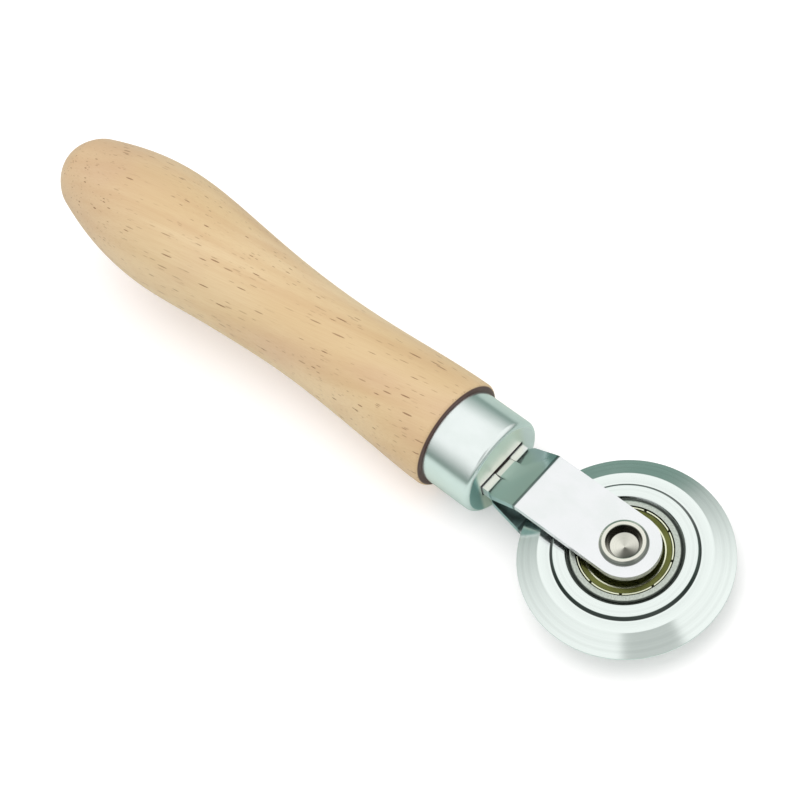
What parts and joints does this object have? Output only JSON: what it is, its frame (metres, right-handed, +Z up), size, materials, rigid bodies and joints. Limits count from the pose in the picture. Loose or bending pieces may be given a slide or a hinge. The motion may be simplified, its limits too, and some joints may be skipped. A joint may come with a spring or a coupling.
{
  "type": "rotary cutter",
  "caption": "Hand tool with a free-running bevel-edged steel wheel on a shielded ball bearing, held in a pressed two-plate fork with a turned wooden handle.",
  "frame": {"origin": "on the surface the tool lies on, under the middle of its bounding box", "axes": "+X along the tool from the butt of the handle to the wheel, +Z up from the surface; the wheel's axle leans 5.20 degrees from +Z towards +X, because the tool lies nose down"},
  "size_m": [0.1814, 0.043, 0.0337],
  "materials": {
    "beech": "turned and sanded beech, thin clear oil",
    "zinc_plate": "bright zinc plate on pressed sheet steel",
    "nickel_rivet": "nickel-plated steel, rolled end",
    "washer_steel": "plain steel",
    "turned_steel": "fine lathe-turned steel, bright",
    "bearing_steel": "ground bearing steel",
    "shield_steel": "pressed sheet steel with a warm tint",
    "cage_steel": "pressed sheet steel",
    "ball_steel": "polished bearing steel"
  },
  "bodies": {
    "root": {"handle": "beech", "ferrule": "zinc_plate", "fork_plate_front": "zinc_plate", "fork_plate_rear": "zinc_plate", "axle_rivet": "nickel_rivet", "spacer_washer_front": "washer_steel", "spacer_washer_rear": "washer_steel", "bearing_inner_ring": "bearing_steel"},
    "wheel": {"wheel": "turned_steel", "bearing_outer_ring": "bearing_steel", "bearing_shield_front": "shield_steel", "bearing_shield_rear": "shield_steel"},
    "cage": {"cage_half_front": "cage_steel", "cage_half_rear": "cage_steel", "cage_rivets": "cage_steel"},
    "ball_1": {"bearing_ball_1": "ball_steel"},
    "ball_2": {"bearing_ball_2": "ball_steel"},
    "ball_3": {"bearing_ball_3": "ball_steel"},
    "ball_4": {"bearing_ball_4": "ball_steel"},
    "ball_5": {"bearing_ball_5": "ball_steel"},
    "ball_6": {"bearing_ball_6": "ball_steel"},
    "ball_7": {"bearing_ball_7": "ball_steel"}
  },
  "joints": [
    {"name": "wheel_spin", "type": "hinge", "parent": "root", "child": "wheel", "pos_m": [0.06928, 0, 0.00817], "axis": [0.0907, 0, 0.9959], "continuous": true},
    {"name": "cage_orbit", "type": "hinge", "parent": "root", "child": "cage", "pos_m": [0.06928, 0, 0.00817], "axis": [0.0907, 0, 0.9959], "continuous": true},
    {"name": "ball_1_spin", "type": "hinge", "parent": "cage", "child": "ball_1", "pos_m": [0.07675, 0, 0.00749], "axis": [0.0907, 0, 0.9959], "continuous": true},
    {"name": "ball_2_spin", "type": "hinge", "parent": "cage", "child": "ball_2", "pos_m": [0.07394, 0.00586, 0.00774], "axis": [0.0907, 0, 0.9959], "continuous": true},
    {"name": "ball_3_spin", "type": "hinge", "parent": "cage", "child": "ball_3", "pos_m": [0.06762, 0.00731, 0.00832], "axis": [0.0907, 0, 0.9959], "continuous": true},
    {"name": "ball_4_spin", "type": "hinge", "parent": "cage", "child": "ball_4", "pos_m": [0.06255, 0.00325, 0.00878], "axis": [0.0907, 0, 0.9959], "continuous": true},
    {"name": "ball_5_spin", "type": "hinge", "parent": "cage", "child": "ball_5", "pos_m": [0.06255, -0.00325, 0.00878], "axis": [0.0907, 0, 0.9959], "continuous": true},
    {"name": "ball_6_spin", "type": "hinge", "parent": "cage", "child": "ball_6", "pos_m": [0.06762, -0.00731, 0.00832], "axis": [0.0907, 0, 0.9959], "continuous": true},
    {"name": "ball_7_spin", "type": "hinge", "parent": "cage", "child": "ball_7", "pos_m": [0.07394, -0.00586, 0.00774], "axis": [0.0907, 0, 0.9959], "continuous": true}
  ],
  "couplings": [
    {"joint": "cage_orbit", "follows": "wheel_spin", "ratio": 0.6323},
    {"joint": "ball_1_spin", "follows": "wheel_spin", "ratio": 1.7573},
    {"joint": "ball_2_spin", "follows": "wheel_spin", "ratio": 1.7573},
    {"joint": "ball_3_spin", "follows": "wheel_spin", "ratio": 1.7573},
    {"joint": "ball_4_spin", "follows": "wheel_spin", "ratio": 1.7573},
    {"joint": "ball_5_spin", "follows": "wheel_spin", "ratio": 1.7573},
    {"joint": "ball_6_spin", "follows": "wheel_spin", "ratio": 1.7573},
    {"joint": "ball_7_spin", "follows": "wheel_spin", "ratio": 1.7573}
  ]
}
